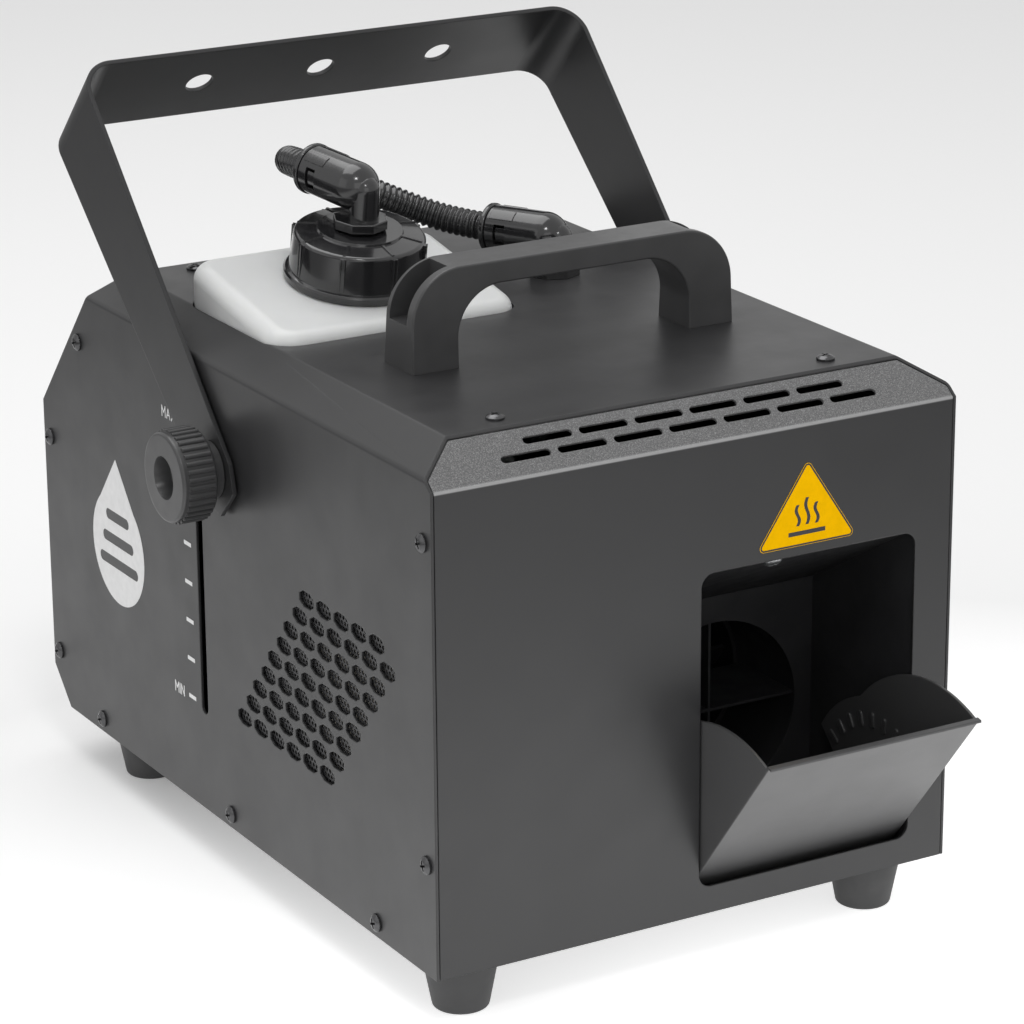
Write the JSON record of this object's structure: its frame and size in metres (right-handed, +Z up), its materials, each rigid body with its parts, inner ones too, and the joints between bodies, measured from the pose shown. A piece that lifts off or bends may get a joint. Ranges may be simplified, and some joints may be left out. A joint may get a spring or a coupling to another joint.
{
  "type": "fog machine",
  "caption": "Stage fog machine: folded sheet-metal housing on rubber feet with a tilting outlet flap, side vents, fluid tank with hose, carrying handle and tilting hanging yoke with knobs.",
  "frame": {"origin": "on the standing plane under the feet, at the centre of the overall box in X and Y", "axes": "+X to the right seen from the front, +Y from the outlet towards the rear sockets, +Z up"},
  "size_m": [0.3, 0.4235, 0.3413],
  "materials": {
    "housing_paint": "fine textured powder coat",
    "panel_paint": "speckled powder coat",
    "flap_paint": "satin powder coat",
    "bare_steel": "satin",
    "duct_steel": "satin sheet",
    "black_screw": "black oxide",
    "black_steel": "satin black",
    "foot_rubber": "matte",
    "black_nylon": "satin moulded",
    "black_gloss": "glossy moulded",
    "hose_nylon": "corrugated",
    "tank_plastic": "translucent milky",
    "silicone_tube": "clear soft tube",
    "heater_alloy": "cast",
    "insulation": "woven glass",
    "brass": "turned",
    "pump_case": "satin",
    "board_green": "solder mask",
    "mesh_black": "perforated",
    "mark_grey": "printed",
    "mark_yellow": "printed",
    "screen_glass": "tinted",
    "switch_red": "translucent red",
    "button_grey": "satin",
    "fan_black": "satin moulded"
  },
  "bodies": {
    "housing": {"cover": "housing_paint", "front_panel": "panel_paint", "base_plate": "housing_paint", "rear_panel": "housing_paint", "control_panel": "housing_paint", "feet": "foot_rubber", "foot_screws": "black_screw", "side_screws": "black_screw", "top_screws": "black_screw", "outlet_duct": "duct_steel", "duct_screw": "bare_steel", "air_tunnel": "duct_steel", "flow_vanes": "duct_steel", "blower_frame": "fan_black", "handle": "black_nylon", "handle_screws": "black_screw", "handle_nuts": "bare_steel", "fluid_tank": "tank_plastic", "tank_tray": "duct_steel", "cap_elbow": "black_gloss", "inlet_elbow": "black_gloss", "hose_collars": "black_gloss", "pickup_line": "silicone_tube", "fluid_hose": "hose_nylon", "yoke_washers": "black_nylon", "yoke_rivet_nuts": "bare_steel", "heater_block": "heater_alloy", "heater_insulation": "insulation", "inner_brackets": "duct_steel", "fog_nozzle": "brass", "heater_elements": "bare_steel", "fluid_pump": "pump_case", "heater_pipe": "brass", "pump_feed_line": "silicone_tube", "power_board": "board_green", "control_board": "board_green", "display_window": "screen_glass", "vent_screens": "mesh_black", "level_scale": "mark_grey", "side_badge": "mark_grey", "hot_surface_mark": "mark_yellow", "mains_inlet": "black_nylon", "fuse_holder": "black_nylon", "switch_frame": "black_nylon", "data_sockets": "black_nylon"},
    "yoke_arms": {"yoke": "black_steel"},
    "knob_l": {"knob_left": "black_nylon", "knob_stud_left": "bare_steel"},
    "knob_r": {"knob_right": "black_nylon", "knob_stud_right": "bare_steel"},
    "flap": {"outlet_flap": "flap_paint", "flap_pins": "bare_steel"},
    "filler_cap": {"tank_cap": "black_gloss"},
    "rotor": {"blower_rotor": "fan_black"},
    "rocker": {"power_rocker": "switch_red"},
    "menu_button": {"button_menu": "button_grey"},
    "down_button": {"button_down": "button_grey"},
    "up_button": {"button_up": "button_grey"},
    "enter_button": {"button_enter": "button_grey"}
  },
  "joints": [
    {"name": "yoke_tilt", "type": "hinge", "parent": "housing", "child": "yoke_arms", "pos_m": [0, 0.02275, 0.1894], "axis": [1, 0, 0], "range_deg": [-22, 110]},
    {"name": "knob_left_turn", "type": "hinge", "parent": "housing", "child": "knob_l", "pos_m": [-0.124, 0.02275, 0.1894], "axis": [-1, 0, 0], "continuous": true},
    {"name": "knob_right_turn", "type": "hinge", "parent": "housing", "child": "knob_r", "pos_m": [0.124, 0.02275, 0.1894], "axis": [1, 0, 0], "continuous": true},
    {"name": "flap_swing", "type": "hinge", "parent": "housing", "child": "flap", "pos_m": [0.052, -0.14215, 0.042], "axis": [1, 0, 0], "range_deg": [-36, 9]},
    {"name": "cap_turn", "type": "hinge", "parent": "housing", "child": "filler_cap", "pos_m": [-0.045, 0.04425, 0.2568], "axis": [0, -0.1736, 0.9848], "continuous": true},
    {"name": "blower_spin", "type": "hinge", "parent": "housing", "child": "rotor", "pos_m": [0.0567, -0.02875, 0.078], "axis": [0, 1, 0], "continuous": true},
    {"name": "power_switch", "type": "hinge", "parent": "housing", "child": "rocker", "pos_m": [0.072, 0.20405, 0.123], "axis": [0, 0, 1], "range_deg": [-6, 6]},
    {"name": "menu_press", "type": "slide", "parent": "housing", "child": "menu_button", "axis": [0, -0.7537, -0.6573], "range_m": [0, 0.0012], "stiffness_N_per_m": 600, "springref_m": -0.0003},
    {"name": "down_press", "type": "slide", "parent": "housing", "child": "down_button", "axis": [0, -0.7537, -0.6573], "range_m": [0, 0.0012], "stiffness_N_per_m": 600, "springref_m": -0.0003},
    {"name": "up_press", "type": "slide", "parent": "housing", "child": "up_button", "axis": [0, -0.7537, -0.6573], "range_m": [0, 0.0012], "stiffness_N_per_m": 600, "springref_m": -0.0003},
    {"name": "enter_press", "type": "slide", "parent": "housing", "child": "enter_button", "axis": [0, -0.7537, -0.6573], "range_m": [0, 0.0012], "stiffness_N_per_m": 600, "springref_m": -0.0003}
  ]
}
